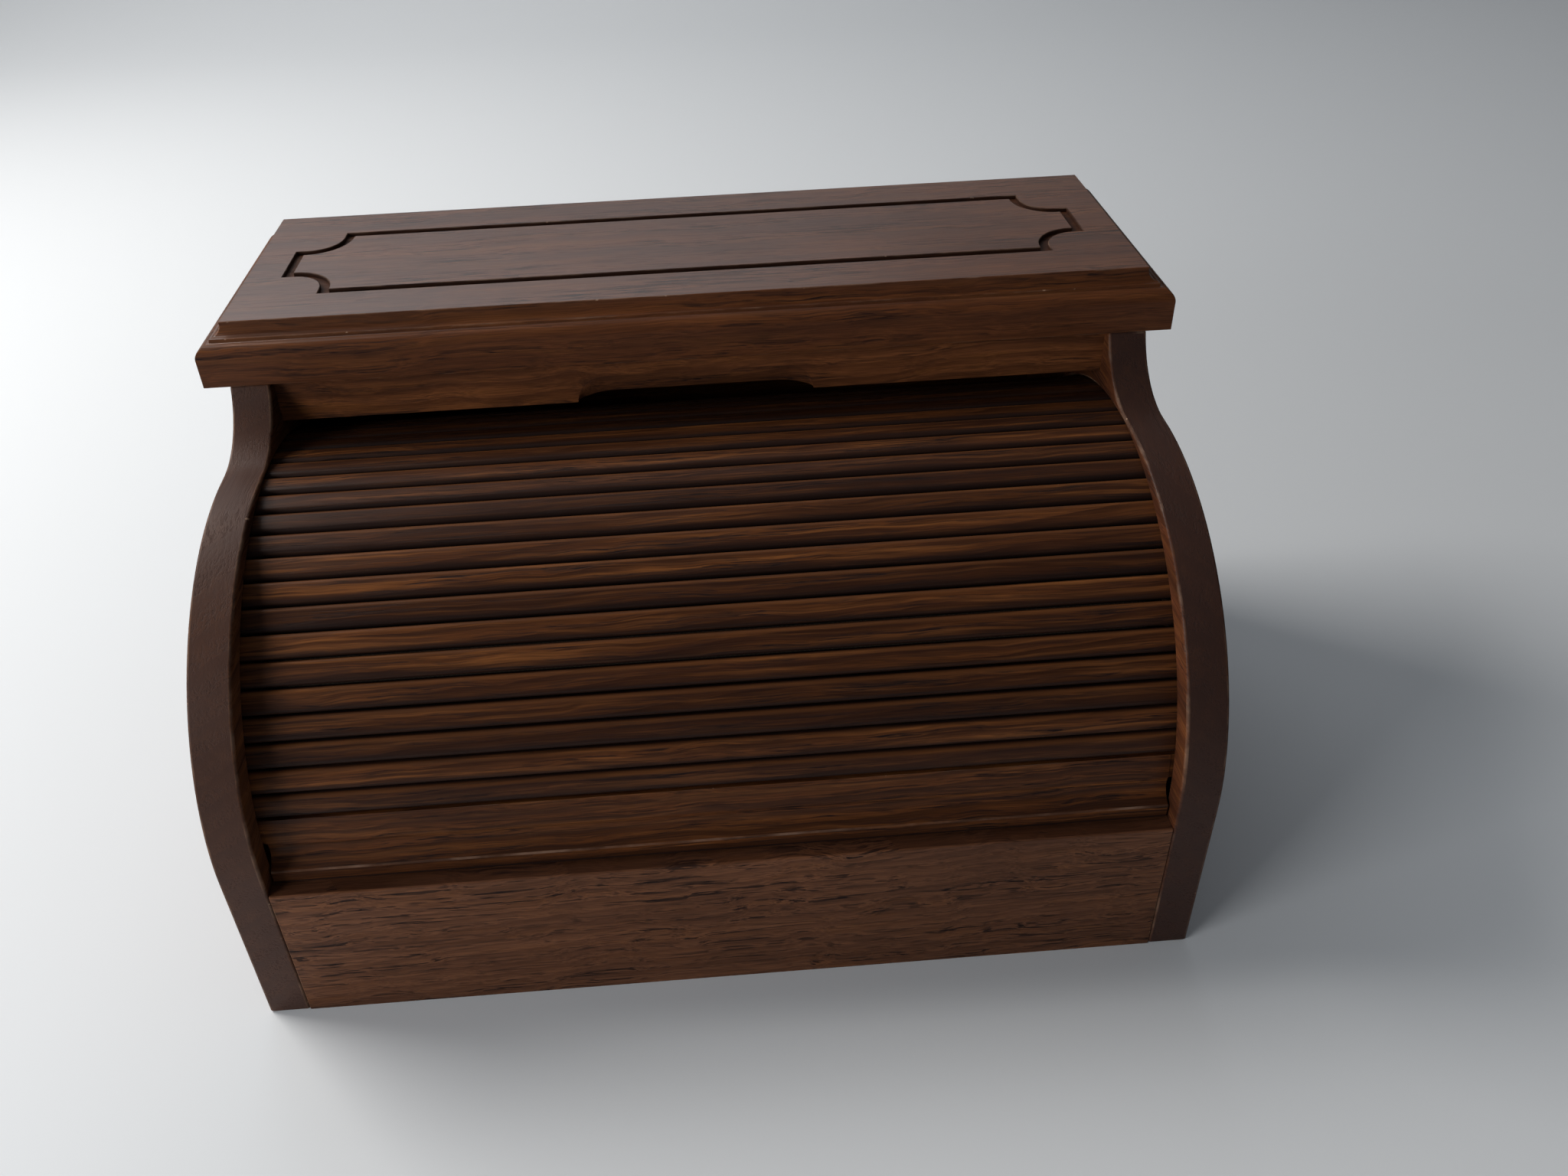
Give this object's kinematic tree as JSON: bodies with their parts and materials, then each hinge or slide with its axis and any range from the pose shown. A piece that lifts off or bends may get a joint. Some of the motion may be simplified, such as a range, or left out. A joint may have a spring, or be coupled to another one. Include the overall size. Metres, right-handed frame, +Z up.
{
  "type": "tambour lid box",
  "caption": "Low wooden box with S-curved sides, a moulded top board and a slatted tambour lid that rolls back into the case.",
  "frame": {"origin": "middle of the underside, on the surface that the box stands on", "axes": "+Z up, -Y towards the front that the lid opens, +X to the right seen from the front"},
  "size_m": [0.316, 0.2074, 0.1875],
  "materials": {
    "back_panel": "stained wood, thin lacquer",
    "bottom_board": "stained wood, thin lacquer",
    "cloth_backing": "woven cloth, matte",
    "front_rail": "dark stained open-pored wood, satin lacquer",
    "header": "dark stained open-pored wood, satin lacquer",
    "inner_back": "stained wood, thin lacquer",
    "lead_bar": "dark stained open-pored wood, satin lacquer",
    "side_left": "dark stained open-pored wood, satin lacquer",
    "side_right": "dark stained open-pored wood, satin lacquer",
    "slat_01": "dark stained open-pored wood, satin lacquer",
    "slat_02": "dark stained open-pored wood, satin lacquer",
    "slat_03": "dark stained open-pored wood, satin lacquer",
    "slat_04": "dark stained open-pored wood, satin lacquer",
    "slat_05": "dark stained open-pored wood, satin lacquer",
    "slat_06": "dark stained open-pored wood, satin lacquer",
    "slat_07": "dark stained open-pored wood, satin lacquer",
    "slat_08": "dark stained open-pored wood, satin lacquer",
    "slat_09": "dark stained open-pored wood, satin lacquer",
    "slat_10": "dark stained open-pored wood, satin lacquer",
    "slat_11": "dark stained open-pored wood, satin lacquer",
    "slat_12": "dark stained open-pored wood, satin lacquer",
    "slat_13": "dark stained open-pored wood, satin lacquer",
    "slat_14": "dark stained open-pored wood, satin lacquer",
    "slat_15": "dark stained open-pored wood, satin lacquer",
    "slat_16": "dark stained open-pored wood, satin lacquer",
    "slat_17": "dark stained open-pored wood, satin lacquer",
    "slat_18": "dark stained open-pored wood, satin lacquer",
    "slat_19": "dark stained open-pored wood, satin lacquer",
    "slat_20": "dark stained open-pored wood, satin lacquer",
    "slat_21": "dark stained open-pored wood, satin lacquer",
    "slat_22": "dark stained open-pored wood, satin lacquer",
    "top_board": "dark stained open-pored wood, satin lacquer"
  },
  "bodies": {
    "case": {"back_panel": "back_panel", "bottom_board": "bottom_board", "front_rail": "front_rail", "header": "header", "inner_back": "inner_back", "side_left": "side_left", "side_right": "side_right", "top_board": "top_board"},
    "lid": {"lead_bar": "lead_bar", "slat_01": "slat_01", "slat_02": "slat_02", "slat_03": "slat_03", "slat_04": "slat_04", "slat_05": "slat_05", "slat_06": "slat_06", "slat_07": "slat_07", "slat_08": "slat_08", "slat_09": "slat_09", "slat_10": "slat_10", "slat_11": "slat_11", "slat_12": "slat_12", "slat_13": "slat_13", "slat_14": "slat_14", "slat_15": "slat_15", "slat_16": "slat_16", "slat_17": "slat_17", "slat_18": "slat_18", "slat_19": "slat_19", "slat_20": "slat_20", "slat_21": "slat_21", "slat_22": "slat_22", "cloth_backing": "cloth_backing"}
  },
  "joints": [
    {"name": "lid_roll", "type": "hinge", "parent": "case", "child": "lid", "pos_m": [0, -0.00625, 0.059], "axis": [-1, 0, 0], "range_deg": [0, 86]}
  ]
}
